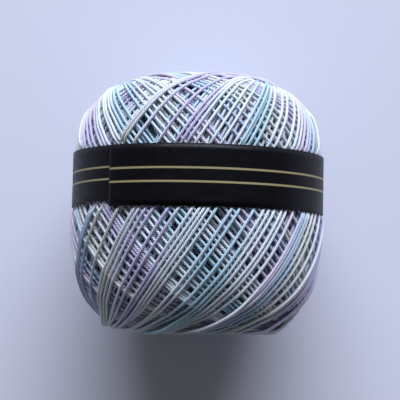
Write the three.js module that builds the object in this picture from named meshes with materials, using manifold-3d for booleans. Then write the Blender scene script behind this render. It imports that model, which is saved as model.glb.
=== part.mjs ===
// Small ball of crochet cotton lying on its side, with a paper band round its middle.
// Millimetres, +Z up. The winding axis runs along Y, and the origin is on the surface under the ball.
import * as THREE from "three";
import { mergeVertices } from "three/addons/utils/BufferGeometryUtils.js";
import Module from "manifold-3d";

// Driving dimensions of the ball
const ballRadius = 22.5;
const poleDistance = 23.3;
const squareness = { far: 3.4, near: 2.9 };
const rimRadius = 12.2;
const restSag = 0.6;
const axisHeight = ballRadius - restSag;

// Cross-wound twists: two opposed sets of raised strands with a pit in each diamond between them
const strandsPerSet = 48;
const rowsPerHalf = 15;
const lastRowRadius = 14.2;
const pitSteepness = 0.82;
const pitUnevenness = 0.14;
const pressedPitDepth = 0.3;
const pressedHeight = 1.1;

// Mouth of each end, from the rim inwards
const mouthRings = [
  { radius: 13.1, sink: 0.36 },
  { radius: 12.0, sink: 0.0 },
  { radius: 11.0, sink: 0.2 },
  { radius: 9.0, sink: 1.4 },
  { radius: 6.4, sink: 3.1 },
  { radius: 3.4, sink: 3.8 },
];
const mouthFloorSink = 3.9;

// Driving dimensions of the paper band
const bandWidth = 10;
const bandNearEdge = -0.6;
const bandFarEdge = bandNearEdge + bandWidth;
const paperThickness = 0.4;
const gap = 0.3;
const bandInnerRadius = ballRadius - 0.25;
const bandOuterRadius = bandInnerRadius + paperThickness;
const lapAngle = THREE.MathUtils.degToRad(40);
const lapLength = THREE.MathUtils.degToRad(24);
const lapRamp = THREE.MathUtils.degToRad(7);
const lapStep = 0.3;
const edgeSkew = 0.8;
const skewLength = THREE.MathUtils.degToRad(130);
const bandSteps = 96;

const fullTurn = 2 * Math.PI;

// Point of the barrel outline at an angle from the widest circle towards an end
function outlinePoint(angle, power) {
  return {
    radius: ballRadius * Math.cos(angle) ** (2 / power),
    along: poleDistance * Math.sin(angle) ** (2 / power),
  };
}

// Outline of one half, with the turn that a taut strand makes on its way from the middle towards the rim
function strandTurns(power) {
  const steps = 3000;
  const points = [{ radius: ballRadius, along: 0, turn: 0 }];
  for (let step = 1; step < steps; step += 1) {
    const last = points[points.length - 1];
    const next = outlinePoint((step * Math.PI) / 2 / steps, power);
    const radius = (last.radius + next.radius) / 2;
    const length = Math.hypot(next.radius - last.radius, next.along - last.along);
    const turn = last.turn + (rimRadius * length) / (radius * Math.sqrt(radius ** 2 - rimRadius ** 2));
    points.push({ ...next, turn });
    if (next.radius < lastRowRadius) break;
  }
  return points;
}

// Rows of crossings of one half, evenly spaced in turn, so they crowd towards the rim as the strands do
function crossingRows(power) {
  const points = strandTurns(power);
  const total = points[points.length - 1].turn;
  const rows = [];
  for (let row = 0; row <= rowsPerHalf; row += 1) {
    const wanted = (total * row) / rowsPerHalf;
    rows.push(points.find((point) => point.turn >= wanted) ?? points[points.length - 1]);
  }
  return rows;
}

// All rows from the near end (-Y) to the far end (+Y)
function ballRows() {
  const near = crossingRows(squareness.near).map(({ radius, along }) => ({ radius, along: -along }));
  const far = crossingRows(squareness.far).map(({ radius, along }) => ({ radius, along }));
  return [...near.reverse(), ...far.slice(1)];
}

// Position on the ball for a turn angle from the top, a distance from the axis and a place along it
function place(angle, radius, along) {
  return [-radius * Math.sin(angle), along, axisHeight + radius * Math.cos(angle)];
}

// Collects vertices and triangles of one closed body
class Shell {
  positions = [];
  triangles = [];

  vertex(angle, radius, along) {
    this.positions.push(...place(angle, radius, along));
    return this.positions.length / 3 - 1;
  }

  ring(count, angleOf, radius, along) {
    return Array.from({ length: count }, (_, index) => this.vertex(angleOf(index), radius, along));
  }

  triangle(a, b, c) {
    this.triangles.push(a, b, c);
  }

  quad(a, b, c, d) {
    this.triangle(a, b, c);
    this.triangle(a, c, d);
  }

  geometry() {
    const geometry = new THREE.BufferGeometry();
    geometry.setAttribute("position", new THREE.Float32BufferAttribute(this.positions, 3));
    geometry.setIndex(this.triangles);
    return geometry;
  }
}

// Depth of a pit: the same steepness everywhere, but pressed shallow where the ball lies or is held
function sinkOfPit(rows, row, index, angle) {
  const { radius, along } = rows[row];
  const underBand = along > bandNearEdge && along < bandFarEdge;
  const lying = place(angle, radius, along)[2] < pressedHeight;
  if (underBand || lying) return pressedPitDepth;
  const halfWidth = (Math.PI * radius) / strandsPerSet;
  const before = rows[row - 1];
  const after = rows[row + 1];
  const halfHeight = Math.hypot(after.radius - before.radius, after.along - before.along) / 2;
  const toStrand = (halfWidth * halfHeight) / Math.hypot(halfWidth, halfHeight);
  const uneven = 1 + pitUnevenness * Math.sin(row * 1.7 + index * 2.9) * Math.cos(index * 0.61);
  return pitSteepness * toStrand * uneven;
}

// One diamond between four crossings, sunk at its centre
function addDiamond(shell, rings, rows, row, index) {
  const { radius, along } = rows[row];
  const before = rows[row - 1];
  const after = rows[row + 1];
  const slope = Math.atan2(after.radius - before.radius, after.along - before.along);
  const angle = ((index + 0.5 + row / 2) * fullTurn) / strandsPerSet;
  const depth = sinkOfPit(rows, row, index, angle);
  const centre = shell.vertex(angle, radius - depth * Math.cos(slope), along + depth * Math.sin(slope));
  const next = (index + 1) % strandsPerSet;
  const corners = [rings[row][index], rings[row + 1][index], rings[row][next], rings[row - 1][next]];
  corners.forEach((corner, side) => shell.triangle(centre, corner, corners[(side + 1) % 4]));
}

// Funnel-shaped mouth of one end, from the last row of crossings to its floor
function addMouth(shell, edgeRing, angleOf, rimAlong, side) {
  let outer = edgeRing;
  for (const { radius, sink } of mouthRings) {
    const inner = shell.ring(strandsPerSet, angleOf, radius, rimAlong - side * sink);
    joinRings(shell, outer, inner, side);
    outer = inner;
  }
  const floor = shell.vertex(0, 0, rimAlong - side * mouthFloorSink);
  for (let index = 0; index < strandsPerSet; index += 1) {
    const next = (index + 1) % strandsPerSet;
    const [first, second] = side > 0 ? [outer[next], outer[index]] : [outer[index], outer[next]];
    shell.triangle(floor, first, second);
  }
}

// Band of quads between two rings; side is +1 when the second ring lies nearer the far end
function joinRings(shell, first, second, side) {
  for (let index = 0; index < first.length; index += 1) {
    const next = (index + 1) % first.length;
    if (side > 0) shell.quad(first[index], second[index], second[next], first[next]);
    else shell.quad(first[index], first[next], second[next], second[index]);
  }
}

// Whole ball with its twists, before it is flattened and drawn in by the band
function woundSurface() {
  const rows = ballRows();
  const shell = new Shell();
  const angleOf = (row) => (index) => ((index + row / 2) * fullTurn) / strandsPerSet;
  const rings = rows.map(({ radius, along }, row) => shell.ring(strandsPerSet, angleOf(row), radius, along));
  const last = rows.length - 1;
  for (let index = 0; index < strandsPerSet; index += 1) {
    const next = (index + 1) % strandsPerSet;
    for (let row = 1; row < last; row += 1) addDiamond(shell, rings, rows, row, index);
    shell.triangle(rings[0][index], rings[1][index], rings[0][next]);
    shell.triangle(rings[last][index], rings[last][next], rings[last - 1][next]);
  }
  const rimAlong = (power) => poleDistance * (1 - (rimRadius / ballRadius) ** power) ** (1 / power);
  addMouth(shell, rings[0], angleOf(0), -rimAlong(squareness.near), -1);
  addMouth(shell, rings[last], angleOf(last), rimAlong(squareness.far), 1);
  return shell.geometry();
}

const wasm = await Module();
wasm.setup();

// Solid for joining and cutting, from a closed geometry
function toSolid(geometry) {
  const bare = geometry.clone();
  bare.deleteAttribute("normal");
  bare.deleteAttribute("uv");
  const merged = mergeVertices(bare, 1e-5);
  const mesh = new wasm.Mesh({
    numProp: 3,
    vertProperties: new Float32Array(merged.attributes.position.array),
    triVerts: new Uint32Array(merged.index.array),
  });
  return new wasm.Manifold(mesh);
}

// Geometry of a solid after joining and cutting
function toGeometry(solid) {
  const mesh = solid.getMesh();
  const geometry = new THREE.BufferGeometry();
  geometry.setAttribute("position", new THREE.BufferAttribute(mesh.vertProperties, mesh.numProp));
  geometry.setIndex(new THREE.BufferAttribute(mesh.triVerts, 1));
  geometry.computeVertexNormals();
  return geometry;
}

// Round section about the axis, cut off flat at a height above the surface
function flattenedCircle(path, radius, flatHeight) {
  const half = Math.acos((axisHeight - flatHeight) / radius);
  path.absarc(0, axisHeight, radius, half - Math.PI / 2, 1.5 * Math.PI - half, false);
  path.closePath();
  return path;
}

// Ring-shaped cutter that draws the yarn in under the band
function bandSeat() {
  const seatRadius = bandInnerRadius - gap;
  const clear = 3;
  const shape = new THREE.Shape();
  shape.absarc(0, axisHeight, ballRadius + clear, 0, fullTurn, false);
  shape.holes.push(flattenedCircle(new THREE.Path(), seatRadius, paperThickness + gap));
  const depth = bandWidth + 2 * gap;
  const ring = new THREE.ExtrudeGeometry(shape, { depth, bevelEnabled: false, curveSegments: 60 });
  ring.rotateX(Math.PI / 2);
  ring.translate(0, bandFarEdge + gap, 0);
  return ring;
}

// Ball flattened where it lies and drawn in under the band
function woundBall() {
  const size = 4 * ballRadius;
  const below = new THREE.BoxGeometry(size, size, size);
  below.translate(0, 0, -size / 2);
  const solid = toSolid(woundSurface()).subtract(toSolid(below)).subtract(toSolid(bandSeat()));
  return toGeometry(solid);
}

// Share of the second paper layer at an angle left of the top: whole over the lap, ramped off past its end
function lapShare(angle) {
  const past = lapAngle - angle;
  if (past < 0) return 0;
  if (past <= lapLength) return 1;
  return Math.max(0, 1 - (past - lapLength) / lapRamp);
}

// Distance from the axis of a circle flattened at a height above the surface
function flattenedRadius(radius, flatHeight, angle) {
  const down = -Math.cos(angle);
  return down <= 0 ? radius : Math.min(radius, (axisHeight - flatHeight) / down);
}

// Angles of the band's steps, with the lap's edge and the ends of the flat spot as exact steps
function bandAngles() {
  const even = Array.from({ length: bandSteps }, (_, index) => (index * fullTurn) / bandSteps);
  const flatHalf = Math.acos(axisHeight / bandOuterRadius);
  const innerHalf = Math.acos((axisHeight - paperThickness) / bandInnerRadius);
  const edge = 0.004;
  const exact = [
    lapAngle,
    lapAngle + edge,
    Math.PI - flatHalf,
    Math.PI + flatHalf,
    Math.PI - innerHalf,
    Math.PI + innerHalf,
  ];
  const spacing = fullTurn / bandSteps / 4;
  const free = even.filter((angle) => exact.every((other) => Math.abs(other - angle) > spacing));
  return [...free, ...exact].sort((a, b) => a - b);
}

// Closed strip of paper glued into a ring, its under end cut a little askew beside the lap
function paperBand() {
  const shell = new Shell();
  const stations = bandAngles().map((angle) => {
    const inner = flattenedRadius(bandInnerRadius, paperThickness, angle);
    const outer = flattenedRadius(bandOuterRadius, 0, angle) + lapStep * lapShare(angle);
    const beyond = angle - lapAngle;
    const skew = beyond > 0 ? edgeSkew * Math.max(0, 1 - beyond / skewLength) : 0;
    const near = bandNearEdge + skew;
    return [
      shell.vertex(angle, inner, near),
      shell.vertex(angle, outer, near),
      shell.vertex(angle, outer, bandFarEdge),
      shell.vertex(angle, inner, bandFarEdge),
    ];
  });
  stations.forEach((station, index) => {
    const next = stations[(index + 1) % stations.length];
    station.forEach((corner, side) => {
      const other = (side + 1) % 4;
      shell.quad(corner, station[other], next[other], next[side]);
    });
  });
  const geometry = shell.geometry();
  geometry.computeVertexNormals();
  return geometry;
}

// Named mesh with its own finish
function piece(name, geometry, finish) {
  const mesh = new THREE.Mesh(geometry, new THREE.MeshStandardMaterial(finish));
  mesh.name = name;
  return mesh;
}

const group = new THREE.Group();
group.add(piece("wound_ball", woundBall(), { color: 0xb9c3da, roughness: 0.72, metalness: 0 }));
group.add(piece("paper_band", paperBand(), { color: 0x15151a, roughness: 0.45, metalness: 0 }));

export default group;
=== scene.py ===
"""A small cross-wound ball of space-dyed crochet cotton in a paper band, lying on its side.

The cotton is wound turn by turn over a height map of the ball, as a winding machine lays it, and each turn
bridges the turns below it like a taut string. Lengths are worked out in millimetres and handed to Blender in
metres. The winding axis runs along Y, and turn angles are counted from the top of the ball towards -X.
"""

import logging
import math
from dataclasses import dataclass, field
from enum import Enum

import bmesh
import bpy
import numpy as np
from mathutils import Matrix, Vector


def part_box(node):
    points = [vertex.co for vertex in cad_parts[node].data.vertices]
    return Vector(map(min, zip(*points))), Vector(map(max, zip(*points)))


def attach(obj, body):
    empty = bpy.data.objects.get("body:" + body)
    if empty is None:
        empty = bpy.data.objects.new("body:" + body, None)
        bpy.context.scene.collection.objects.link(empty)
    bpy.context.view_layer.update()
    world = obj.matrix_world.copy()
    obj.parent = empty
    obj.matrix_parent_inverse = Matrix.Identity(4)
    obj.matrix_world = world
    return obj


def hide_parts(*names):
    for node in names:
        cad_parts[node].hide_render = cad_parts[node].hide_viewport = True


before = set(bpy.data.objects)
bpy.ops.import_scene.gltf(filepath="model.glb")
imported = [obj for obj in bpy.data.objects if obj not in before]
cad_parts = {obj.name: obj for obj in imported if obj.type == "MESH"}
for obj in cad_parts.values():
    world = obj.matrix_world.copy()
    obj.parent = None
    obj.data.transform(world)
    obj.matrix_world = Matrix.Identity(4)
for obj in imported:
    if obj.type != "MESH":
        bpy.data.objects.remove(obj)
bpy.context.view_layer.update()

LOG = logging.getLogger("cotton_ball")
MM = 0.001
FULL_TURN = 2 * math.pi
BODY = "root"
BALL_NODE = "wound_ball"
BAND_NODE = "paper_band"
GRAIN_GROUP = "fine_grain"
# Height that no thread is laid at, in millimetres
BELOW_ALL = -9.0
# Curve of a screen's colours: slope and end of its straight part, then its offset and power
SCREEN_CURVE = (12.92, 0.04045, 0.055, 2.4)

Array = np.ndarray
Colour = tuple[float, float, float]
Stops = tuple[tuple[float, Colour], ...]


class Slot(Enum):
    """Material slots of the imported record."""

    COTTON = "cotton_thread"
    PAPER = "band_paper"


class End(Enum):
    """The two ends of the ball, by the side of the winding axis they are on."""

    NEAR = -1
    FAR = 1


def linear(colour: Colour) -> tuple[float, float, float, float]:
    """Scene colour of a colour as a screen shows it.

    Args:
        colour: Red, green and blue from 0 to 1, as shown on a screen.

    Returns:
        The same colour in linear light, with full alpha.
    """
    slope, end, offset, power = SCREEN_CURVE
    channels = (tone / slope if tone <= end else ((tone + offset) / (1 + offset)) ** power for tone in colour)
    return (*channels, 1.0)


def smooth_noise(positions: Array, wavelength: float, rng: np.random.Generator) -> Array:
    """Smooth random values along a line, between about -1 and 1.

    Args:
        positions: Places along the line.
        wavelength: Distance between the random values that are joined.
        rng: Source of the random values.

    Returns:
        One value for each position.
    """
    reach = positions.max() - positions.min()
    knots = rng.uniform(-1, 1, int(reach / wavelength) + 4)
    place = (positions - positions.min()) / wavelength + 1
    first = place.astype(int)
    share = place - first
    share = share * share * (3 - 2 * share)
    return knots[first] * (1 - share) + knots[first + 1] * share


def blurred(values: Array, sigma: float) -> Array:
    """Values along a line, smoothed by a bell curve, with the ends held.

    Args:
        values: Evenly spaced values.
        sigma: Width of the bell curve, in steps.

    Returns:
        The smoothed values.
    """
    reach = max(1, int(3 * sigma))
    offsets = np.arange(-reach, reach + 1)
    weights = np.exp(-0.5 * (offsets / sigma) ** 2)
    padded = np.pad(values, reach, mode="edge")
    return np.convolve(padded, weights / weights.sum(), mode="valid")


@dataclass
class Outline:
    """Barrel outline of the ball, walked from the near mouth to the far one.

    Attributes:
        radius: Largest radius of the ball.
        pole: Distance from the middle to where the outline would close on the axis.
        powers: Squareness of the two ends.
        axis_height: Height of the winding axis above the surface.
        mouth: Smallest radius that the outline is walked to.
        radii: Radii of its points, from the near mouth to the far one.
        places: Their places along the axis.
        walk: Their distances walked from the middle.
        lean: Angles of their outward normals from the radial direction.
    """

    radius: float
    pole: float
    powers: dict[End, float]
    axis_height: float
    mouth: float = 3.5
    radii: Array = field(init=False)
    places: Array = field(init=False)
    walk: Array = field(init=False)
    lean: Array = field(init=False)

    def __post_init__(self) -> None:
        """Tabulates the outline."""
        near = self._half(self.powers[End.NEAR])
        far = self._half(self.powers[End.FAR])
        self.radii = np.concatenate([near[0][::-1], far[0][1:]])
        self.places = np.concatenate([-near[1][::-1], far[1][1:]])
        steps = np.hypot(np.diff(self.radii), np.diff(self.places))
        walked = np.concatenate([[0.0], np.cumsum(steps)])
        self.walk = walked - walked[len(near[0]) - 1]
        self.lean = np.arctan2(-np.gradient(self.radii, self.walk), np.gradient(self.places, self.walk))

    def _half(self, power: float) -> tuple[Array, Array]:
        """Radii and places of one end's outline, from the middle outwards.

        Args:
            power: Squareness of that end.

        Returns:
            The radii and the distances along the axis.
        """
        angle = 0.5 * math.pi * np.linspace(0, 1, 4001)[:-1] ** (0.5 * power)
        radii = self.radius * np.cos(angle) ** (2 / power)
        places = self.pole * np.sin(angle) ** (2 / power)
        inside = radii >= self.mouth
        return radii[inside], places[inside]

    def radius_at(self, walked: Array) -> Array:
        """Radius at distances walked along the outline from the middle."""
        return np.interp(walked, self.walk, self.radii)

    def place_at(self, walked: Array) -> Array:
        """Place along the axis at distances walked along the outline from the middle."""
        return np.interp(walked, self.walk, self.places)

    def lean_at(self, walked: Array) -> Array:
        """Angle of the outward normal from the radial direction, towards the far end."""
        return np.interp(walked, self.walk, self.lean)

    def walk_to(self, radius: float, end: End) -> float:
        """Distance walked from the middle to where one end has a radius.

        Args:
            radius: The wanted radius.
            end: Which end.

        Returns:
            The signed distance along the outline.
        """
        middle = int(np.argmax(self.radii))
        if end is End.FAR:
            return float(np.interp(-radius, -self.radii[middle:], self.walk[middle:]))
        return float(np.interp(radius, self.radii[: middle + 1], self.walk[: middle + 1]))

    def points(self, angles: Array, walked: Array, heights: Array) -> tuple[Array, Array]:
        """Points above or below the outline's surface.

        Args:
            angles: Turn angles from the top.
            walked: Distances along the outline from the middle.
            heights: Distances outwards from the surface.

        Returns:
            The points and the outward normals.
        """
        lean = self.lean_at(walked)
        out = np.stack([-np.sin(angles), np.zeros_like(angles), np.cos(angles)], axis=1)
        along = np.array([0.0, 1.0, 0.0])
        normals = out * np.cos(lean)[:, None] + along * np.sin(lean)[:, None]
        base = out * self.radius_at(walked)[:, None] + along * self.place_at(walked)[:, None]
        base[:, 2] += self.axis_height
        return base + normals * heights[:, None], normals


@dataclass(frozen=True)
class Pass:
    """One full pass of the winding round the ball.

    Attributes:
        rim: Radius of the circle that the turns swing round at each end.
        drift: Turns are shifted by this many drifts from those of the last pass.
        step: Distance between modelled points of the thread.
        sides: Sides of the modelled thread.
        pieces: Meshes that the pass is split into.
    """

    rim: float
    drift: float
    step: float
    sides: int
    pieces: int


@dataclass
class Laid:
    """Centre line of the thread of one pass, as laid.

    Attributes:
        angles: Turn angles from the top.
        walked: Distances along the outline.
        heights: Heights of the centre above the ball's outer surface.
        travel: Length of thread laid before each point.
    """

    angles: Array
    walked: Array
    heights: Array
    travel: Array


@dataclass
class Winding:
    """Lays the thread on the ball, pass after pass, over a height map.

    Attributes:
        outline: Outer surface of the finished ball.
        passes: The passes, from the innermost one.
        thickness: Diameter of the thread.
        last_angle: Turn angle at which the last turn crosses the middle.
        lead: Extra turn of each crossing on the way out, which the way back lacks.
        rim_share: Rim radius at each end, as a share of the pass's own.
        meeting: Distance along the outline at which the stretches that are laid one by one meet.
        seed: Seed of the small irregularities.
        sample: Distance between samples of the thread as it is laid.
        cells_round: Columns of the height map, round the ball.
        cell: Distance along the outline between its rows.
        tile: Rows and columns of the tiles in which the ball's growth is levelled.
        shift: Greatest shift of the turns in one drift, in thicknesses.
        shift_angle: Turn angle round the ball over which the shift changes.
        rim_drift: Slow change of the rim radius from turn to turn.
        drift_turns: Number of turns over which it changes.
        rim_wander: Quick change of the rim radius.
        side_wander: Sideways wander of the thread.
        wander_length: Length of thread over which it wanders.
        firmness: How far turns keep those above them up, near the ends and at the middle.
        firm_radii: Radii of the ball that those two hold for.
        tread: Part of the thread's width that holds up the turns above it.
        stiffness: Length over which the thread bends over its supports.
        evenness: Length over which the surface's own bend is evened out.
        crest: Percentile of the heights in a tile that counts as the tile's height.
        levelling: Tiles over which the growth is smoothed, along the outline and round the ball.
        spacings: Distances between turns round the middle, each with its share.
        unevenness: Greatest change of a spacing, as a share of it.
        ground: The height map.
        base: Height of the first turns' ground in each row.
        rng: Source of the random values.
    """

    outline: Outline
    passes: tuple[Pass, ...]
    thickness: float = 0.5
    last_angle: float = math.radians(-149)
    lead: float = math.radians(32)
    rim_share: dict[End, float] = field(default_factory=lambda: {End.NEAR: 1.18, End.FAR: 1.0})
    meeting: float = 4.4
    seed: int = 11
    sample: float = 0.14
    cells_round: int = 1080
    cell: float = 0.13
    tile: tuple[int, int] = (10, 30)
    shift: float = 0.9
    shift_angle: float = 0.33
    rim_drift: float = 0.7
    drift_turns: float = 9.0
    rim_wander: float = 0.2
    side_wander: float = 0.06
    wander_length: float = 9.0
    firmness: tuple[float, float] = (0.2, 0.8)
    firm_radii: tuple[float, float] = (13.0, 22.0)
    tread: float = 0.65
    stiffness: float = 0.9
    evenness: float = 1.0
    crest: float = 90
    levelling: tuple[float, float] = (1.5, 1.2)
    spacings: tuple[tuple[float, float], ...] = (
        (0.66, 0.26), (1.3, 0.25), (1.95, 0.26), (2.6, 0.16), (3.7, 0.07)
    )
    unevenness: float = 0.08
    ground: Array = field(init=False)
    base: Array = field(init=False)
    rng: np.random.Generator = field(init=False)

    def __post_init__(self) -> None:
        """Clears the height map."""
        self.rng = np.random.default_rng(self.seed)
        rows = int((self.outline.walk[-1] - self.outline.walk[0]) / self.cell) + 3
        rows += -rows % self.tile[0]
        self.ground = np.zeros((rows, self.cells_round), np.float32)
        self.base = np.full(rows, -0.5 * self.thickness)

    def rows_of(self, walked: Array) -> Array:
        """Height map rows of distances along the outline."""
        return ((walked - self.outline.walk[0]) / self.cell + 0.5).astype(int)

    def columns_of(self, angles: Array) -> Array:
        """Height map columns of turn angles."""
        return (np.mod(angles, FULL_TURN) / FULL_TURN * self.cells_round).astype(int) % self.cells_round

    def spots(self) -> Array:
        """Turn angles of one pass at which its turns cross the middle, unevenly spaced round the ball."""
        mean = sum(width * share for width, share in self.spacings)
        girth = FULL_TURN * self.outline.radius
        count = round(girth / mean)
        widths = [width for width, _ in self.spacings]
        shares = np.array([share for _, share in self.spacings])
        steps = self.rng.choice(widths, count, p=shares / shares.sum())
        steps = steps * self.rng.uniform(1 - self.unevenness, 1 + self.unevenness, count)
        return np.cumsum(steps) * FULL_TURN / steps.sum()

    def rims(self, middle: float, turns: int) -> Array:
        """Rim radii of a pass, by turns at the near and the far end, changing slowly from turn to turn.

        Args:
            middle: Mean rim radius.
            turns: Number of turns.

        Returns:
            One radius for each half turn, and one for the end.
        """
        radii = self.rim_wander * self.rng.uniform(-1, 1, 2 * turns + 1)
        for first, end in enumerate(End):
            places = np.arange(len(radii[first::2]), dtype=float)
            drift = self.rim_drift * smooth_noise(places, self.drift_turns, self.rng)
            radii[first::2] += middle * self.rim_share[end] + drift
        return radii

    def traverse(self, start: tuple[float, End], stop: tuple[float, End], turn: float) -> tuple[Array, Array]:
        """One crossing of the ball from rim to rim, along a taut line.

        Args:
            start: Rim radius and end that it leaves.
            stop: Rim radius and end that it reaches.
            turn: Turn angle that the crossing takes up.

        Returns:
            Turn angles from the start, and distances along the outline.
        """
        swing = np.linspace(-0.5 * math.pi, 0.5 * math.pi, 161)
        middle = 0.5 * (swing[1:] + swing[:-1])
        first, last = self.outline.walk_to(*start), self.outline.walk_to(*stop)
        centre, reach = 0.5 * (first + last), 0.5 * (last - first)
        walked, at = (centre + reach * np.sin(turns) for turns in (swing, middle))
        share = 0.5 + 0.5 * np.sin(middle)
        rim = start[0] * (1 - share) + stop[0] * share
        radius = self.outline.radius_at(at)
        clear = np.sqrt(np.maximum(radius**2 - rim**2, 1e-4))
        rate = rim / (radius * clear) * 0.5 * abs(last - first) * np.cos(middle)
        angles = np.concatenate([[0.0], np.cumsum(rate)])
        return angles * turn / angles[-1], walked

    def path(self, spots: Array, rims: Array) -> tuple[Array, Array, Array]:
        """Path of one pass, turn after turn, in even samples.

        Args:
            spots: Turn angles at which its turns cross the middle on their way out.
            rims: Rim radii, by turns at the near and the far end.

        Returns:
            Turn angles, distances along the outline and the length up to each sample.
        """
        angles = [np.array([spots[0] - 0.5 * math.pi])]
        walked = [np.array([self.outline.walk_to(rims[0], End.NEAR)])]
        steps = np.append(np.diff(spots), spots[0] + FULL_TURN - spots[-1])
        for half, step in enumerate(np.repeat(steps, 2)):
            ends = (End.NEAR, End.FAR) if half % 2 == 0 else (End.FAR, End.NEAR)
            turn = math.pi + 0.5 * step + (self.lead if half % 2 == 0 else -self.lead)
            turned, out = self.traverse((rims[half], ends[0]), (rims[half + 1], ends[1]), turn)
            angles.append(angles[-1][-1] + turned[1:])
            walked.append(out[1:])
        whole, out = np.concatenate(angles), np.concatenate(walked)
        radius = self.outline.radius_at(0.5 * (out[1:] + out[:-1]))
        total = np.concatenate([[0.0], np.cumsum(np.hypot(np.diff(out), radius * np.diff(whole)))])
        even = np.arange(0, total[-1], self.sample)
        sway = smooth_noise(even, self.wander_length, self.rng) * self.side_wander / self.outline.radius
        return np.interp(even, total, whole) + sway, np.interp(even, total, out), even

    def footprint(self, angles: Array, walked: Array, offset: float) -> tuple[Array, Array]:
        """Height map cells beside a path.

        Args:
            angles: Turn angles of the path.
            walked: Distances along the outline of the path.
            offset: Distance to the side of the path.

        Returns:
            The rows and columns of the cells.
        """
        radius = self.outline.radius_at(walked)
        across = np.gradient(walked)
        round_ = np.gradient(angles) * radius
        length = np.hypot(across, round_) + 1e-9
        side_angle = angles - offset * across / length / radius
        side_walk = np.clip(walked + offset * round_ / length, self.outline.walk[0], self.outline.walk[-1])
        return self.rows_of(side_walk), self.columns_of(side_angle)

    def support(self, angles: Array, walked: Array) -> Array:
        """Least height of the thread's centre along a stretch, so that it clears what is already laid.

        Args:
            angles: Turn angles of the stretch.
            walked: Distances along the outline of the stretch.

        Returns:
            The height at each sample.
        """
        reach = 0.5 * self.thickness
        least = np.full(len(angles), BELOW_ALL)
        for share in (-0.5, 0.0, 0.5):
            rows, columns = self.footprint(angles, walked, share * reach)
            least = np.maximum(least, self.ground[rows, columns] + reach * math.sqrt(1 - share**2))
        return least

    def fall(self, angles: Array, walked: Array) -> Array:
        """How a straight line falls in below the round surface along a stretch, up to a slope.

        Args:
            angles: Turn angles of the path.
            walked: Distances along the outline of the path.

        Returns:
            The fall at each sample.
        """
        points, normals = self.outline.points(angles, walked, np.zeros_like(walked))
        turning = np.gradient(np.gradient(points, axis=0), axis=0)
        bend = np.maximum(0.0, -(turning * normals).sum(axis=1))
        return np.cumsum(np.cumsum(blurred(bend, self.evenness / self.sample)))

    def tighten(self, least: Array, fall: Array) -> Array:
        """Heights of a taut thread over its supports.

        Args:
            least: Least height at each sample.
            fall: Fall of a straight line below the round surface.

        Returns:
            The height at each sample.
        """
        level = least - fall
        hull = [0]
        for index in range(1, len(level)):
            while len(hull) > 1:
                before, last = hull[-2], hull[-1]
                rise = (level[last] - level[before]) * (index - before)
                if rise > (level[index] - level[before]) * (last - before):
                    break
                hull.pop()
            hull.append(index)
        taut = np.interp(np.arange(len(level)), hull, level[hull]) + fall
        return blurred(taut, self.stiffness / self.sample)

    def lay(self, angles: Array, walked: Array, start: float | None) -> Array:
        """Lays one stretch of thread on the height map.

        Args:
            angles: Turn angles of its samples.
            walked: Distances along the outline of its samples.
            start: Height at which the stretch before it ended, if there is one.

        Returns:
            The height of its centre at each sample.
        """
        least = self.support(angles, walked)
        if start is not None:
            least[: round(2 * self.thickness / self.sample)] = BELOW_ALL
            least[0] = start
        heights = self.tighten(least, self.fall(angles, walked))
        reach = 0.5 * self.thickness
        firm = np.interp(self.outline.radius_at(walked), self.firm_radii, self.firmness)
        for offset in np.linspace(-self.tread, self.tread, 5) * reach:
            rows, columns = self.footprint(angles, walked, offset)
            top = heights + firm * math.sqrt(reach**2 - offset**2) - (1 - firm) * reach
            np.maximum.at(self.ground, (rows, columns), top.astype(np.float32))
        return heights

    def lay_pass(self, spots: Array, rims: Array) -> Laid:
        """Lays one pass, in stretches of one turn that meet out of sight, under the band.

        Args:
            spots: Turn angles at which its turns cross the middle on their way out.
            rims: Rim radii, by turns at the near and the far end.

        Returns:
            The laid thread.
        """
        angles, walked, travel = self.path(spots, rims)
        meets = np.flatnonzero((walked[:-1] < self.meeting) & (walked[1:] >= self.meeting)) + 1
        cuts = [0, *meets[1:], len(walked)]
        heights: list[Array] = []
        for first, last in zip(cuts, cuts[1:]):
            start = heights[-1][-1] if heights else None
            heights.append(self.lay(angles[first:last], walked[first:last], start))
        return Laid(angles, walked, np.concatenate(heights), travel)

    def growth(self, rim: float) -> Array:
        """Broad growth of the ball since it was last levelled, without the relief of single turns.

        Args:
            rim: Rim radius of the pass just laid.

        Returns:
            The growth of each cell of the height map.
        """
        high, wide = self.tile
        rows, columns = self.ground.shape
        tiles = self.ground.reshape(rows // high, high, columns // wide, wide)
        coarse = np.percentile(tiles, self.crest, axis=(1, 3))
        brims = [self.outline.walk_to(rim * self.rim_share[end], end) for end in End]
        ends = self.rows_of(np.array(brims)) // high
        coarse[: ends[0]] = coarse[ends[0]].mean()
        coarse[ends[1] + 1 :] = coarse[ends[1]].mean()
        coarse = np.apply_along_axis(blurred, 0, coarse, self.levelling[0])
        past = 6
        coarse = np.pad(coarse, ((0, 0), (past, past)), mode="wrap")
        coarse = np.apply_along_axis(blurred, 1, coarse, self.levelling[1])
        row_places = (np.arange(rows // high) + 0.5) * high - 0.5
        column_places = (np.arange(-past, columns // wide + past) + 0.5) * wide - 0.5
        tall = np.stack([np.interp(np.arange(rows), row_places, line) for line in coarse.T], axis=1)
        return np.stack([np.interp(np.arange(columns), column_places, line) for line in tall])

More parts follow.
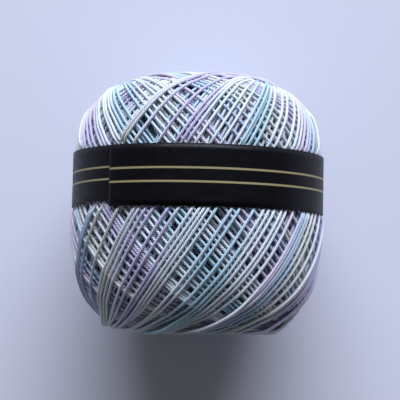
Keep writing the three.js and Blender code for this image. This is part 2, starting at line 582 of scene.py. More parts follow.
    def wind(self) -> list[Laid]:
        """Winds the whole ball.

        Returns:
            The laid thread of each pass, with heights relative to the finished surface.
        """
        spots = self.spots()
        spots = spots - spots[-1] + self.last_angle
        drift = self.shift * self.thickness / self.outline.radius
        shift = smooth_noise(spots, self.shift_angle, self.rng) * drift
        travel = 0.0
        laid: list[Laid] = []
        for made in self.passes:
            run = self.lay_pass(spots + shift * made.drift, self.rims(made.rim, len(spots)))
            run.travel += travel
            travel = run.travel[-1]
            laid.append(run)
            growth = self.growth(made.rim)
            self.base -= growth.max(axis=1)
            self.ground -= growth.astype(np.float32)
            for earlier in laid:
                earlier.heights -= growth[self.rows_of(earlier.walked), self.columns_of(earlier.angles)]
            turn = np.ptp(run.travel) / len(spots)
            LOG.info("pass laid: %d turns of %.1f mm, %.1f m of thread so far", len(spots), turn, travel * MM)
        return laid


def add_object(name: str, data: bpy.types.ID) -> bpy.types.Object:
    """Links a mesh, light or camera to the scene as an object at the origin.

    Args:
        name: Name of the object.
        data: Its mesh, light or camera.

    Returns:
        The object.
    """
    piece = bpy.data.objects.new(name, data)
    bpy.context.scene.collection.objects.link(piece)
    return piece


def shade_smooth(mesh: bpy.types.Mesh) -> None:
    """Gives every face of a mesh smooth shading."""
    mesh.polygons.foreach_set("use_smooth", np.ones(len(mesh.polygons), bool))


def mesh_of(name: str, shape: bmesh.types.BMesh) -> bpy.types.Mesh:
    """Mesh made from a bmesh, which is freed.

    Args:
        name: Name of the mesh.
        shape: The bmesh.

    Returns:
        The mesh.
    """
    mesh = bpy.data.meshes.new(name)
    shape.to_mesh(mesh)
    shape.free()
    return mesh


@dataclass
class Nodes:
    """Short calls for building one node tree.

    Attributes:
        tree: The tree.
    """

    tree: bpy.types.NodeTree

    def add(self, kind: str, **settings: object) -> bpy.types.Node:
        """New node with its settings.

        Args:
            kind: Blender's name of the node type.
            **settings: Attributes to set on the node.

        Returns:
            The node.
        """
        node = self.tree.nodes.new(kind)
        for name, value in settings.items():
            setattr(node, name, value)
        return node

    def fill(self, node: bpy.types.Node, values: dict[object, object]) -> None:
        """Sets or links the inputs of a node.

        Args:
            node: The node.
            values: A plain value or an output for each input, by its name or number.
        """
        for name, value in values.items():
            if isinstance(value, bpy.types.NodeSocket):
                self.tree.links.new(value, node.inputs[name])
            else:
                node.inputs[name].default_value = value

    def place(self, group: bpy.types.NodeTree, values: dict[object, object]) -> bpy.types.NodeOutputs:
        """Places a node group and fills its inputs.

        Args:
            group: The group.
            values: A plain value or an output for each of its inputs.

        Returns:
            Its outputs.
        """
        node = self.add("ShaderNodeGroup", node_tree=group)
        self.fill(node, values)
        return node.outputs

    def attribute(self, name: str) -> bpy.types.NodeSocket:
        """Output with one of the piece's number attributes."""
        return self.add("ShaderNodeAttribute", attribute_name=name).outputs["Fac"]

    def map_of(self, name: str) -> bpy.types.NodeSocket:
        """Output with one of the piece's own maps."""
        return self.add("ShaderNodeUVMap", uv_map=name).outputs["UV"]

    def split(self, vector: bpy.types.NodeSocket) -> bpy.types.NodeOutputs:
        """Outputs with the X, Y and Z of a vector."""
        node = self.add("ShaderNodeSeparateXYZ")
        self.fill(node, {0: vector})
        return node.outputs

    def bump(
        self, shader: bpy.types.Node, height: bpy.types.NodeSocket, tall: float, strength: float
    ) -> None:
        """Roughens a shader's normal.

        Args:
            shader: The shader node.
            height: Socket with the height, from 0 to 1.
            tall: Real height of the relief, in millimetres.
            strength: How far it shows.
        """
        node = self.add("ShaderNodeBump")
        self.fill(node, {"Strength": strength, "Distance": tall * MM, "Height": height})
        self.fill(shader, {"Normal": node.outputs["Normal"]})

    def math(self, operation: str, first: object, second: object = 0.0) -> bpy.types.NodeSocket:
        """Math node on sockets or numbers.

        Args:
            operation: Blender's name of the operation.
            first: First socket or number.
            second: Second socket or number.

        Returns:
            The result socket.
        """
        node = self.add("ShaderNodeMath", operation=operation)
        self.fill(node, {0: first, 1: second})
        return node.outputs[0]

    def remap(
        self, value: bpy.types.NodeSocket, low: float, high: float, to: tuple[float, float]
    ) -> bpy.types.NodeSocket:
        """Smooth remap of a value.

        Args:
            value: Socket to remap.
            low: Value that gives the first result.
            high: Value that gives the second result.
            to: The two results.

        Returns:
            The result socket.
        """
        node = self.add("ShaderNodeMapRange", interpolation_type="SMOOTHSTEP")
        self.fill(node, {"Value": value, "From Min": low, "From Max": high, "To Min": to[0], "To Max": to[1]})
        return node.outputs["Result"]

    def blend(self, mode: str, amount: object, first: object, second: object) -> bpy.types.NodeSocket:
        """Colour mix of sockets or colours.

        Args:
            mode: Blender's name of the blend mode.
            amount: Socket or number from 0 to 1.
            first: Lower colour.
            second: Upper colour.

        Returns:
            The mixed colour's socket.
        """
        node = self.add("ShaderNodeMix", data_type="RGBA", blend_type=mode)
        # Inputs 6 and 7 and output 2 are the ones for colours.
        self.fill(node, {0: amount, 6: first, 7: second})
        return node.outputs[2]

    def ramp(self, value: bpy.types.NodeSocket, stops: Stops) -> bpy.types.NodeSocket:
        """Colour ramp on a value.

        Args:
            value: Socket with the value.
            stops: Places from 0 to 1 and their screen colours.

        Returns:
            The colour's socket.
        """
        node = self.add("ShaderNodeValToRGB")
        node.color_ramp.interpolation = "EASE"
        elements = node.color_ramp.elements
        while len(elements) < len(stops):
            elements.new(1.0)
        for element, (place, colour) in zip(elements, stops):
            element.position = place
            element.color = linear(colour)
        self.fill(node, {"Fac": value})
        return node.outputs["Color"]


def new_group(
    name: str, inputs: dict[str, str], outputs: dict[str, str]
) -> tuple[Nodes, bpy.types.NodeOutputs, bpy.types.Node]:
    """Empty shader node group with named sockets.

    Args:
        name: Name of the group.
        inputs: Input names and socket types.
        outputs: Output names and socket types.

    Returns:
        A builder for the group, what goes into the group and the node that takes what comes out.
    """
    group = bpy.data.node_groups.new(name, "ShaderNodeTree")
    for side, sockets in (("INPUT", inputs), ("OUTPUT", outputs)):
        for label, kind in sockets.items():
            group.interface.new_socket(label, in_out=side, socket_type=kind)
    nodes = Nodes(group)
    return nodes, nodes.add("NodeGroupInput").outputs, nodes.add("NodeGroupOutput")


def grain_group() -> bpy.types.NodeTree:
    """Group that gives random grain over a place, made once for all materials."""
    made = bpy.data.node_groups.get(GRAIN_GROUP)
    if made is not None:
        return made
    sockets = {"Place": "NodeSocketVector", "Scale": "NodeSocketFloat", "Detail": "NodeSocketFloat"}
    nodes, given, result = new_group(GRAIN_GROUP, sockets, {"Grain": "NodeSocketFloat"})
    noise = nodes.add("ShaderNodeTexNoise")
    nodes.fill(noise, {"Vector": given["Place"], "Scale": given["Scale"], "Detail": given["Detail"]})
    nodes.fill(result, {"Grain": noise.outputs["Fac"]})
    return nodes.tree


def grain(nodes: Nodes, scale: float, detail: float = 2.0) -> bpy.types.NodeSocket:
    """Places the shared grain in a material, over the object's own coordinates.

    Args:
        nodes: Builder of the material's nodes.
        scale: Grains to a metre.
        detail: Number of finer layers.

    Returns:
        The grain's socket.
    """
    place = nodes.add("ShaderNodeTexCoord").outputs["Object"]
    return nodes.place(grain_group(), {"Place": place, "Scale": scale, "Detail": detail})["Grain"]


def new_material(name: str) -> tuple[bpy.types.Material, Nodes, bpy.types.Node]:
    """Material with only a Principled shader.

    Args:
        name: Name of the material.

    Returns:
        The material, a builder for its nodes and the shader node.
    """
    material = bpy.data.materials.new(name)
    material.use_nodes = True
    nodes = Nodes(material.node_tree)
    return material, nodes, material.node_tree.nodes["Principled BSDF"]


@dataclass(frozen=True)
class CottonFinish:
    """Mercerised cotton, space-dyed along its length and plied from three strands.

    Attributes:
        repeat: Length of thread after which the dyes repeat.
        dyes: Places in the repeat and their colours.
        hollow: Colour of the painted shade that deep turns are darkened towards.
        depth_shade: Depths in the ball between which the painted shade grows, and the most that it does.
        lay: Length in which a strand goes once round the thread.
        furrow_shade: Colour of the painted shade between the strands, and how far it shows.
        furrow_shade_top: Height on a strand, from 0 to 1, up to which the painted shade reaches.
        fibre_scale: Fibres to a metre.
        fibre: How far single fibres show.
        roughness: Roughness of the surface.
        bead: Height of a strand above the furrows beside it, and how far it shows.
        softness: Distance that light travels in the cotton.
    """

    repeat: float = 151.6
    dyes: Stops = (
        (0.00, (0.88, 0.92, 0.95)),
        (0.12, (0.87, 0.90, 0.94)),
        (0.17, (0.70, 0.84, 0.88)),
        (0.27, (0.69, 0.83, 0.88)),
        (0.33, (0.87, 0.92, 0.94)),
        (0.45, (0.88, 0.92, 0.95)),
        (0.50, (0.79, 0.76, 0.89)),
        (0.59, (0.80, 0.77, 0.89)),
        (0.64, (0.88, 0.91, 0.95)),
        (0.71, (0.88, 0.89, 0.86)),
        (0.77, (0.87, 0.89, 0.86)),
        (0.81, (0.73, 0.83, 0.90)),
        (0.87, (0.75, 0.82, 0.91)),
        (0.93, (0.86, 0.81, 0.88)),
        (1.00, (0.88, 0.92, 0.95)),
    )
    hollow: Colour = (0.50, 0.57, 0.68)
    depth_shade: tuple[float, float, float] = (0.6, 3.4, 0.3)
    lay: float = 1.25
    furrow_shade: tuple[Colour, float] = ((0.55, 0.58, 0.68), 0.85)
    furrow_shade_top: float = 0.55
    fibre_scale: float = 5200.0
    fibre: float = 0.35
    roughness: float = 0.55
    bead: tuple[float, float] = (0.06, 0.8)
    softness: float = 0.9

    def dye_and_shade_group(self) -> bpy.types.NodeTree:
        """Group that turns a length along the thread into a dye colour, darkened with depth in the ball as
        painted shade.
        """
        sockets = {"Travel": "NodeSocketFloat", "Depth": "NodeSocketFloat"}
        nodes, given, result = new_group("thread_dye_and_depth_shade", sockets, {"Colour": "NodeSocketColor"})
        wrapped = nodes.math("FRACT", nodes.math("DIVIDE", given["Travel"], self.repeat))
        # Painted shade: turns deeper in the ball are darkened towards the hollow colour.
        shade = nodes.remap(given["Depth"], self.depth_shade[0], self.depth_shade[1], (0.0, self.depth_shade[2]))
        mixed = nodes.blend("MIX", shade, nodes.ramp(wrapped, self.dyes), linear(self.hollow))
        nodes.fill(result, {"Colour": mixed})
        return nodes.tree

    def ply_group(self) -> bpy.types.NodeTree:
        """Group that gives the height of three twisted strands from a thread's own map, and the mask of the
        painted shade in the furrows between them.
        """
        sockets = {"Height": "NodeSocketFloat", "Groove Shade": "NodeSocketFloat"}
        nodes, given, result = new_group("thread_ply", {"Map": "NodeSocketVector"}, sockets)
        place = nodes.split(given["Map"])
        phase = nodes.math("ADD", place["X"], place["Y"])
        wave = nodes.math("SINE", nodes.math("MULTIPLY", phase, 3 * math.pi))
        height = nodes.math("ABSOLUTE", wave)
        # Mask of the painted shade in the furrows between the strands.
        groove_shade = nodes.remap(height, 0.0, self.furrow_shade_top, (1.0, 0.0))
        nodes.fill(result, {"Height": height, "Groove Shade": groove_shade})
        return nodes.tree

    def material(self) -> bpy.types.Material:
        """Material of the thread, read from its own map and attributes."""
        material, nodes, shader = new_material("space_dyed_cotton")
        laid = {"Travel": nodes.attribute("travel"), "Depth": nodes.attribute("depth")}
        # The dye colour, darkened with depth as painted shade.
        dye_and_shade = nodes.place(self.dye_and_shade_group(), laid)["Colour"]
        ply = nodes.place(self.ply_group(), {"Map": nodes.map_of("thread")})
        # Painted shade: the furrows between the strands are darkened in the base colour.
        groove_shade = nodes.math("MULTIPLY", ply["Groove Shade"], self.furrow_shade[1])
        shaded = nodes.blend("MULTIPLY", groove_shade, dye_and_shade, linear(self.furrow_shade[0]))
        nodes.bump(shader, ply["Height"], *self.bead)
        nodes.fill(shader, {
            "Base Color": nodes.blend("SOFT_LIGHT", self.fibre, shaded, grain(nodes, self.fibre_scale)),
            "Roughness": self.roughness,
            "Specular IOR Level": 0.3,
            "Sheen Weight": 0.12,
            "Sheen Roughness": 0.4,
            "Subsurface Weight": 0.4,
            "Subsurface Radius": (1.0, 1.0, 1.0),
            "Subsurface Scale": self.softness * MM,
        })
        return material


@dataclass(frozen=True)
class PaintedShadeInnerTurns:
    """The inner turns that show only through the gaps of the winding, painted dim and bluish as painted
    shade.

    Attributes:
        shade: Painted shade between the turns.
        light: Colour on the turns, lighter than between them as painted light, but still dimmed as painted
            shade.
        well: Painted shade at the bottom of the two wells.
        rib: Height of a turn, and how far it shows.
        rib_light_edge: Height on a turn, from 0 to 1, from which it gets lighter, as painted light.
        well_shade_edge: Depth in a well, from 0 to 1, from which it has the well's painted shade.
    """

    shade: Colour = (0.56, 0.62, 0.72)
    light: Colour = (0.72, 0.78, 0.86)
    well: Colour = (0.12, 0.14, 0.18)
    rib: tuple[float, float] = (0.2, 1.0)
    rib_light_edge: float = 0.35
    well_shade_edge: float = 0.9

    def material(self) -> bpy.types.Material:
        """Material with two crossing sets of soft ribs, darker between them and in the wells as painted
        shade.
        """
        material, nodes, shader = new_material("inner_turns")
        laid = nodes.split(nodes.map_of("turns"))
        ribs = []
        for sign in (1.0, -1.0):
            slant = nodes.math("ADD", laid["X"], nodes.math("MULTIPLY", laid["Y"], sign))
            ribs.append(nodes.math("ABSOLUTE", nodes.math("SINE", nodes.math("MULTIPLY", slant, math.pi))))
        height = nodes.math("MAXIMUM", ribs[0], ribs[1])
        # Painted shade between the turns and painted light on their tops, from the rib height.
        rib_light_and_shade = nodes.ramp(height, ((self.rib_light_edge, self.shade), (1.0, self.light)))
        # Painted shade deep in the two wells.
        well_shade_mask = nodes.remap(nodes.attribute("deep"), 0.0, self.well_shade_edge, (0.0, 1.0))
        nodes.bump(shader, height, *self.rib)
        colour = nodes.blend("MIX", well_shade_mask, rib_light_and_shade, linear(self.well))
        nodes.fill(shader, {"Base Color": colour, "Roughness": 0.9})
        return material


@dataclass
class CottonBall:
    """The wound cotton: its outer passes of thread over a core of inner turns.

    Attributes:
        outline: Outer surface of the ball.
        winding: How the thread is laid.
        finish: Finish of the thread.
        seat: Places along the axis between which the band draws the yarn in.
        seat_depth: How far it does.
        seat_shoulder: Distance along the axis in which the yarn rises again.
        slope: Steepest rise of the thread beside the band.
        well_depth: Depth of the hollow at each end of the inner body.
        well_steps: Rings of each hollow's wall.
        well_shares: Shares of its depth and of its mouth's radius that the wall goes between.
        well_shade_rings: Rings of the inner body that get darker towards its hollows, as painted shade.
        end_share: Share of its length that the inner body keeps at its ends.
        core_steps: Points of the inner body's profile, and steps round it.
        inner_rim: Radius that the inner turns swing round at each end.
        inner_turns: Number of inner turns.
        blur_of_flat: Height over which the yarn under the ball goes over into the flat spot.
    """

    outline: Outline
    winding: Winding
    finish: CottonFinish
    seat: tuple[float, float]
    seat_depth: float = 0.28
    seat_shoulder: float = 1.2
    slope: float = 0.55
    well_depth: float = 9.0
    well_steps: int = 5
    well_shares: tuple[tuple[float, float], tuple[float, float]] = ((1.0, 0.2), (0.55, 0.95))
    well_shade_rings: int = 9
    end_share: float = 0.97
    core_steps: tuple[int, int] = (65, 120)
    inner_rim: float = 4.0
    inner_turns: int = 90
    blur_of_flat: float = 0.12

    def drawn_in(self, walked: Array) -> Array:
        """How far the band draws the yarn in.

        Args:
            walked: Distances along the outline.

        Returns:
            The depth at each of them.
        """
        place = self.outline.place_at(walked)
        rise = np.clip((place - self.seat[0]) / self.seat_shoulder + 1, 0, 1)
        fall = np.clip((self.seat[1] - place) / self.seat_shoulder + 1, 0, 1)
        share = np.minimum(rise, fall)
        return self.seat_depth * share * share * (3 - 2 * share)

    def held_down(self, walked: Array, heights: Array) -> Array:
        """Heights of the thread, pressed down where the band crosses it.

        Args:
            walked: Distances along the outline.
            heights: Heights of the thread's centre as laid.

        Returns:
            The heights, none of which reaches the band.
        """
        place = self.outline.place_at(walked)
        clear = np.maximum(0.0, np.maximum(self.seat[0] - place, place - self.seat[1]))
        most = self.slope * clear - self.seat_depth - 0.5 * self.winding.thickness
        blend = 0.1
        return -blend * np.logaddexp(-heights / blend, -most / blend)

    def centre_line(self, run: Laid, made: Pass) -> tuple[Array, Array, Array, Array]:
        """Points of a pass at its modelled spacing.

        Args:
            run: The laid thread.
            made: The pass.

        Returns:
            Points, outward normals, travelled length and depth below the surface.
        """
        stride = made.step / self.winding.sample
        at = np.arange(0, len(run.travel) - 1, stride)
        index = np.arange(len(run.travel))
        angles, walked, heights, travel = (
            np.interp(at, index, values) for values in (run.angles, run.walked, run.heights, run.travel)
        )
        points, normals = self.outline.points(angles, walked, self.held_down(walked, heights))
        lift = 0.5 * self.winding.thickness
        low = (points[:, 2] - lift) / self.blur_of_flat
        points[:, 2] = lift + self.blur_of_flat * np.logaddexp(0, low)
        return points, normals, travel, np.maximum(0.0, -heights)

    def sweep(self, name: str, line: tuple[Array, Array, Array, Array], sides: int) -> bpy.types.Object:
        """Closed tube of thread along a centre line, with its map and attributes.

        Args:
            name: Name of the piece.
            line: Points, normals, travelled length and depth.
            sides: Sides of the tube.

        Returns:
            The piece.
        """
        points, normals, travel, depth = line
        tangents = np.gradient(points, axis=0)
        tangents /= np.linalg.norm(tangents, axis=1)[:, None]
        across = np.cross(tangents, normals)
        across /= np.linalg.norm(across, axis=1)[:, None]
        upward = np.cross(across, tangents)
        turn = FULL_TURN * np.arange(sides) / sides
        reach = 0.5 * self.winding.thickness
        ring = upward[:, None] * np.cos(turn)[None, :, None] + across[:, None] * np.sin(turn)[None, :, None]
        corners = (points[:, None] + reach * ring).reshape(-1, 3) * MM
        count = len(points)
        start = np.arange(count - 1)[:, None] * sides
        side = np.arange(sides)[None, :]
        following = (side + 1) % sides
        quads = np.stack(
            [start + side, start + sides + side, start + sides + following, start + following], axis=2
        ).reshape(-1, 4)
        caps = [list(range(sides)), list(range((count - 1) * sides, count * sides))[::-1]]
        mesh = bpy.data.meshes.new(name)
        mesh.from_pydata(corners.tolist(), [], quads.tolist() + caps)
        for label, values in (("travel", travel), ("depth", depth)):
            layer = mesh.attributes.new(label, "FLOAT", "POINT")
            layer.data.foreach_set("value", np.repeat(values, sides).astype(np.float32))
        self.map_thread(mesh, travel, sides)
        shade_smooth(mesh)
        return add_object(name, mesh)

    def map_thread(self, mesh: bpy.types.Mesh, travel: Array, sides: int) -> None:
        """Lays the thread's map: once round it across, and its travelled length in lays along it.

        Args:
            mesh: The tube.
            travel: Travelled length at each ring.
            sides: Sides of the tube.
        """
        span = travel / self.finish.lay
        around = np.arange(sides)[None, :] / sides
        nearer = span[:-1, None] + 0 * around
        further = span[1:, None] + 0 * around
        left = around + 0 * nearer
        right = left + 1 / sides
        loops = np.stack([left, nearer, left, further, right, further, right, nearer], axis=2).reshape(-1)
        ends = np.zeros(4 * sides)
        layer = mesh.uv_layers.new(name="thread")
        layer.data.foreach_set("uv", np.concatenate([loops, ends]).astype(np.float32))

    def core_profile(self) -> tuple[Array, Array]:
        """Profile of the inner body, from the floor of the near well to that of the far one.

        Returns:
            Its radii and its places along the axis.
        """
        walked = np.linspace(self.outline.walk[0], self.outline.walk[-1], self.core_steps[0])
        lean = self.outline.lean_at(walked)
        depth = self.drawn_in(walked) - self.winding.base[self.winding.rows_of(walked)]
        radii = self.outline.radius_at(walked) - depth * np.cos(lean)
        places = self.outline.place_at(walked) - depth * np.sin(lean)
        places = np.clip(places, self.end_share * places.min(), self.end_share * places.max())
        down = self.well_depth * np.linspace(*self.well_shares[0], self.well_steps)
        walls = radii[0] * np.linspace(*self.well_shares[1], self.well_steps)
        radii = np.concatenate([[0.0], walls, radii, walls[::-1], [0.0]])
        near, far = places[0] + down, places[-1] - down[::-1]
        return radii, np.concatenate([near[:1], near, places, far, far[-1:]])

    def core(self) -> bpy.types.Object:
        """Inner body of the ball, spun from the outline drawn in, with a well at each end."""
        shape = bmesh.new()
        radii, places = self.core_profile()
        line = [shape.verts.new((radius * MM, place * MM, 0.0)) for radius, place in zip(radii, places)]
        edges = [shape.edges.new(pair) for pair in zip(line, line[1:])]
        bmesh.ops.spin(
            shape, geom=line + edges, cent=(0, 0, 0), axis=(0, 1, 0), dvec=(0, 0, 0),
            angle=FULL_TURN, steps=self.core_steps[1], use_merge=True, use_duplicate=False,
        )
        bmesh.ops.remove_doubles(shape, verts=shape.verts, dist=1e-6)
        bmesh.ops.recalc_face_normals(shape, faces=shape.faces)
        self.map_turns(shape, radii, places)
        bmesh.ops.translate(shape, verts=shape.verts, vec=(0, 0, self.outline.axis_height * MM))
        floor = self.winding.thickness * MM
        for vertex in shape.verts:
            vertex.co.z = max(vertex.co.z, floor)
        mesh = mesh_of("cotton_inner_turns", shape)
        shade_smooth(mesh)
        return add_object(mesh.name, mesh)

    def map_turns(self, shape: bmesh.types.BMesh, radii: Array, places: Array) -> None:
        """Lays the map of the inner turns, and marks how deep in a well each point is.

        The map runs round the ball across, and with the turn of a taut thread up.

        Args:
            shape: The inner body, with its axis through the origin.
            radii: Radii of its profile.
            places: Places of its profile along the axis.
        """
        mean = np.maximum(0.5 * (radii[1:] + radii[:-1]), 1.0)
        clear = np.sqrt(np.maximum(mean**2 - self.inner_rim**2, 1.0))
        steps = np.hypot(np.diff(radii), np.diff(places)) * np.minimum(self.inner_rim, mean) / (mean * clear)
        turned = np.concatenate([[0.0], np.cumsum(steps)])
        laid = shape.loops.layers.uv.new("turns")
        deep = shape.verts.layers.float.new("deep")
        count = len(radii)
        nearest = {}
        for vertex in shape.verts:
            radius = math.hypot(vertex.co.x, vertex.co.z) / MM
            nearest[vertex] = int(np.argmin(np.hypot(radii - radius, places - vertex.co.y / MM)))
            # Rings near a well get a mark that darkens them as painted shade.
            rank = min(nearest[vertex], count - 1 - nearest[vertex])
            vertex[deep] = max(0.0, 1 - rank / self.well_shade_rings)
        for face in shape.faces:
            middle = face.calc_center_median()
            home = math.atan2(middle.x, middle.z)
            for loop in face.loops:
                point = loop.vert.co
                angle = home + math.remainder(math.atan2(point.x, point.z) - home, FULL_TURN)
                rounds = self.inner_turns / FULL_TURN
                loop[laid].uv = (angle * rounds, turned[nearest[loop.vert]] * rounds)

    def build(self) -> list[bpy.types.Object]:
        """Builds the core and every pass of thread.

        Returns:
            The pieces.
        """
        cotton = self.finish.material()
        runs = self.winding.wind()
        core = self.core()
        # The inner turns are coloured dim and bluish as painted shade, not in the cotton's dyes.
        core.data.materials.append(PaintedShadeInnerTurns().material())
        pieces = [core]
        for number, (run, made) in enumerate(zip(runs, self.winding.passes), start=1):
            line = self.centre_line(run, made)
            cuts = np.linspace(0, len(line[0]), made.pieces + 1).astype(int)
            for part, (first, last) in enumerate(zip(cuts, cuts[1:]), start=1):
                stretch = tuple(values[first : last + 1] for values in line)
                piece = self.sweep(f"cotton_pass_{number}_{part}", stretch, made.sides)
                piece.data.materials.append(cotton)
                pieces.append(piece)
        for piece in pieces:
            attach(piece, BODY)
            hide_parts(BALL_NODE)
        return pieces


@dataclass(frozen=True)
class PaperFinish:
    """Coated black paper with thin pale gold rules.

    Attributes:
        black: Colour of the paper.
        worn: Colour of the paper's lighter grains.
        gold: Colour of the print.
        rules: Places of the two rules across the band, from its middle.
        rule_width: Width of a rule.
        pulp: Grains of the paper to a metre, and their finer layers.
        pulp_span: Grain values that give the least and the greatest roughness.
        roughness: Least and greatest roughness.
        tooth: Height of the grain, and how far it shows.
    """

    black: Colour = (0.045, 0.045, 0.06)
    worn: Colour = (0.06, 0.06, 0.075)
    gold: Colour = (0.62, 0.58, 0.42)
    rules: tuple[float, float] = (-1.1, 1.1)
    rule_width: float = 0.33
    pulp: tuple[float, float] = (900.0, 4.0)
    pulp_span: tuple[float, float] = (0.3, 0.7)
    roughness: tuple[float, float] = (0.36, 0.46)
    tooth: tuple[float, float] = (0.05, 0.15)

    def material(self) -> bpy.types.Material:
        """Material of the printed paper, from the strip's own map in millimetres."""
        material, nodes, shader = new_material("printed_paper")
        across = nodes.split(nodes.map_of("strip"))["Y"]
        lines = []
        for rule in self.rules:
            off = nodes.math("ABSOLUTE", nodes.math("SUBTRACT", across, rule))
            lines.append(nodes.remap(off, 0.4 * self.rule_width, 0.6 * self.rule_width, (1.0, 0.0)))
        print_mask = nodes.math("MAXIMUM", *lines)
        pulp = grain(nodes, *self.pulp)
        paper = nodes.blend("MIX", pulp, linear(self.black), linear(self.worn))
        nodes.bump(shader, pulp, *self.tooth)
        nodes.fill(shader, {
            "Base Color": nodes.blend("MIX", print_mask, paper, linear(self.gold)),
            "Roughness": nodes.remap(pulp, *self.pulp_span, self.roughness),
            "Specular IOR Level": 0.13,
        })
        return material


@dataclass
class PaperBand:
    """Strip of paper glued into a ring round the ball.

    Attributes:
        near_edge: Place of its near edge along the axis.
        far_edge: Place of its far edge.
        radius: Radius of its inner face.
        axis_height: Height of the winding axis above the surface.
        finish: Finish of the paper.
        lap_angle: Turn angle of the outer end's edge.
        lap: Length of the overlap.
        skew: How much the under end's near edge is cut away.
        skew_reach: Turn angle over which that cut runs out.
        paper: Thickness of the paper.
        lap_rise: Rise of the outer end over the under end, in thicknesses.
        waves: Waves of the paper round the ring, each with its count, height and phase.
        steps: Faces along the strip and across it.
    """

    near_edge: float
    far_edge: float
    radius: float
    axis_height: float
    finish: PaperFinish
    lap_angle: float = math.radians(40)
    lap: float = 9.5
    skew: float = 1.1
    skew_reach: float = math.radians(130)
    paper: float = 0.14
    lap_rise: float = 1.25
    waves: tuple[tuple[int, float, float], ...] = ((5, 0.030, 0.9), (11, 0.018, 2.4))
    steps: tuple[int, int] = (300, 10)

    def sweep(self) -> float:
        """Turn angle of the whole strip, with its lap."""
        return FULL_TURN + self.lap / self.radius

    def radius_at(self, angle: float, turned: float) -> float:
        """Distance from the axis to the inner face of the strip.

        Args:
            angle: Turn angle from the top of the ball.
            turned: Turn angle from the strip's outer end.

        Returns:
            The distance, less where the strip lies flat under the ball.
        """
        # The strip lies up over the whole lap, and comes down again in half a lap's length past it.
        over = min(1.0, max(0.0, 3 - 2 * turned * self.radius / self.lap))
        wave = sum(height * math.sin(count * angle + phase) for count, height, phase in self.waves)
        radius = self.radius + self.lap_rise * self.paper * over + wave
        down = -math.cos(angle)
        return min(radius, (self.axis_height - self.paper) / down) if down > 0 else radius

    def wrapped(self, along: float, across: float) -> Vector:
        """Point of the strip's inner face on the ball.

        Args:
            along: Place along the strip, from 0 at the outer end to 1 at the under end.
            across: Place across it, from 0 at the near edge to 1 at the far one.

        Returns:
            The point, in millimetres.
        """
        turned = along * self.sweep()
        angle = self.lap_angle - turned
        near = self.near_edge + self.skew * max(0.0, 1 - (self.sweep() - turned) / self.skew_reach)
        place = near + across * (self.far_edge - near)
        radius = self.radius_at(angle, turned)
        return Vector((-radius * math.sin(angle), place, self.axis_height + radius * math.cos(angle)))

    def build(self) -> bpy.types.Object:
        """Builds the band from a flat strip, wrapped round the ball and given its thickness.

        Returns:
            The piece.
        """
        shape = bmesh.new()
        bmesh.ops.create_grid(shape, x_segments=self.steps[0], y_segments=self.steps[1], size=0.5)
        layer = shape.loops.layers.uv.new("strip")
        length, width = self.sweep() * self.radius, self.far_edge - self.near_edge
        for face in shape.faces:
            for loop in face.loops:
                loop[layer].uv = ((loop.vert.co.x + 0.5) * length, loop.vert.co.y * width)
        for vertex in shape.verts:
            vertex.co = self.wrapped(vertex.co.x + 0.5, vertex.co.y + 0.5) * MM
        shape.normal_update()
        bmesh.ops.solidify(shape, geom=shape.faces[:], thickness=-self.paper * MM)
        mesh = mesh_of("paper_band_printed", shape)
        shade_smooth(mesh)
        mesh.materials.append(self.finish.material())
        piece = add_object(mesh.name, mesh)
        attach(piece, BODY)
        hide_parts(BAND_NODE)
        return piece


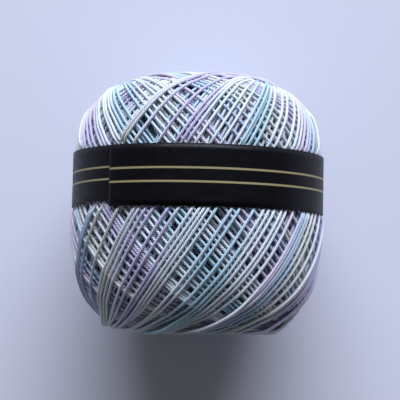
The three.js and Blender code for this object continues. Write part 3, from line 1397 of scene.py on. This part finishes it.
@dataclass
class Studio:
    """Pale floor, soft lights and the camera above the ball.

    Attributes:
        centre: Point that the camera looks at, in metres.
        elevation: Camera's angle above the horizon, in degrees.
        roll: Turn of the picture, in degrees.
        distance: Distance from the camera to the centre, in metres.
        lens: Focal length of the camera, in millimetres.
        window: Turn of the windows from the far end, and their height, in degrees.
        windows: Name, distance in metres, width and height in metres, and power in watts of each window.
        daylight: Colour of the windows.
        floor_reach: Distance from the middle of the floor to its edges, in metres.
        floor_tones: The two screen colours that the floor drifts between.
        floor_grain: Patches of the floor to a metre.
        wall: Screen colour of the plain wall that the camera sees past the floor.
        room: Colour of the room's own light.
        fill: Strength of the room's own light.
        spread: Angle over which the windows shed their light.
    """

    centre: Vector
    elevation: float = 86.3
    roll: float = 1.2
    distance: float = 0.18
    lens: float = 90.0
    window: tuple[float, float] = (4.0, 30.0)
    windows: tuple[tuple[str, float, tuple[float, float], float], ...] = (
        ("window", 1.0, (1.1, 0.5), 4.6),
        ("far_window", 4.0, (4.5, 2.1), 54.0),
    )
    daylight: Colour = (0.81, 0.85, 1.0)
    floor_reach: float = 0.8
    floor_tones: tuple[Colour, Colour] = ((0.835, 0.845, 0.89), (0.845, 0.855, 0.90))
    floor_grain: float = 8.0
    wall: Colour = (0.74, 0.77, 0.86)
    room: Colour = (0.98, 0.96, 1.0)
    fill: float = 0.10
    spread: float = math.radians(100)

    def floor(self) -> bpy.types.Object:
        """Pale, slightly blue floor that runs out of sight."""
        shape = bmesh.new()
        bmesh.ops.create_grid(shape, x_segments=2, y_segments=2, size=self.floor_reach)
        mesh = mesh_of("floor", shape)
        material, nodes, shader = new_material("pale_floor")
        patches = grain(nodes, self.floor_grain)
        tone = nodes.blend("MIX", patches, *(linear(colour) for colour in self.floor_tones))
        nodes.fill(shader, {"Base Color": tone, "Roughness": 0.9, "Specular IOR Level": 0.1})
        mesh.materials.append(material)
        piece = add_object("floor", mesh)
        return piece

    def light(self, name: str, reach: float, size: tuple[float, float], power: float) -> bpy.types.Object:
        """Window behind the far end of the ball, which faces the centre.

        Args:
            name: Name of the light.
            reach: Distance from the centre, in metres.
            size: Width and height, in metres.
            power: Power in watts.

        Returns:
            The light.
        """
        data = bpy.data.lights.new(name, "AREA")
        data.shape = "RECTANGLE"
        data.size, data.size_y = size
        data.energy = power
        data.color = self.daylight
        data.spread = self.spread
        lamp = add_object(name, data)
        turn, lift = (math.radians(angle) for angle in self.window)
        away = Vector((math.sin(turn) * math.cos(lift), math.cos(turn) * math.cos(lift), math.sin(lift)))
        lamp.location = self.centre + away * reach
        lamp.rotation_mode = "QUATERNION"
        lamp.rotation_quaternion = away.to_track_quat("Z", "Y")
        return lamp

    def camera(self) -> bpy.types.Object:
        """Camera above the ball, a little towards its near end."""
        data = bpy.data.cameras.new("camera")
        data.lens = self.lens
        data.sensor_width = 36.0
        data.clip_start, data.clip_end = 0.01, 10.0
        piece = add_object("camera", data)
        lift, roll = math.radians(self.elevation), math.radians(self.roll)
        back = Vector((0.0, -math.cos(lift), math.sin(lift)))
        up = Vector((-math.sin(roll), math.cos(roll), 0.0))
        right = up.cross(back).normalized()
        up = back.cross(right)
        turned = Matrix((right, up, back)).transposed()
        piece.rotation_mode = "QUATERNION"
        piece.rotation_quaternion = turned.to_quaternion()
        piece.location = self.centre + back * self.distance
        bpy.context.scene.camera = piece
        return piece

    def build(self) -> None:
        """Builds the floor, the lights, the sky and the camera."""
        self.camera()
        self.floor()
        for window in self.windows:
            self.light(*window)
        world = bpy.data.worlds.new("soft_room")
        world.use_nodes = True
        nodes = Nodes(world.node_tree)
        seen = nodes.add("ShaderNodeLightPath").outputs["Is Camera Ray"]
        nodes.fill(world.node_tree.nodes["Background"], {
            "Color": nodes.blend("MIX", seen, (*self.room, 1.0), linear(self.wall)),
            "Strength": nodes.remap(seen, 0.0, 1.0, (self.fill, 1.0)),
        })
        bpy.context.scene.world = world
        bpy.context.scene.view_settings.view_transform = "Standard"


def ball_outline() -> Outline:
    """Outer surface of the cotton, from the ball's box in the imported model."""
    low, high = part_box(BALL_NODE)
    radius = 0.5 * (high.x - low.x) / MM
    return Outline(
        radius=radius,
        pole=radius + 0.8,
        powers={End.NEAR: 2.9, End.FAR: 3.4},
        axis_height=high.z / MM - radius,
    )


def main() -> None:
    """Builds the stage, the ball and its band, and reports each piece."""
    logging.basicConfig(level=logging.INFO, format="%(message)s")
    outline = ball_outline()
    low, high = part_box(BAND_NODE)
    band_edges = (low.y / MM, high.y / MM)
    Studio(centre=Vector((0.0004, 0.0018, outline.axis_height * MM))).build()
    passes = (
        Pass(rim=5.6, drift=4.4, step=1.2, sides=4, pieces=1),
        Pass(rim=7.8, drift=4.1, step=1.2, sides=4, pieces=1),
        Pass(rim=9.6, drift=2.3, step=1.1, sides=4, pieces=1),
        Pass(rim=10.9, drift=2.0, step=0.9, sides=4, pieces=1),
        Pass(rim=11.8, drift=0.4, step=0.65, sides=5, pieces=2),
        Pass(rim=12.4, drift=0.0, step=0.5, sides=6, pieces=2),
    )
    ball = CottonBall(outline, Winding(outline, passes), CottonFinish(), band_edges)
    for piece in ball.build():
        LOG.info("%s: %d faces", piece.name, len(piece.data.polygons))
    band = PaperBand(band_edges[0], band_edges[1], outline.radius - 0.2, outline.axis_height, PaperFinish())
    piece = band.build()
    LOG.info("%s: %d faces", piece.name, len(piece.data.polygons))


if __name__ == "__main__":
    main()
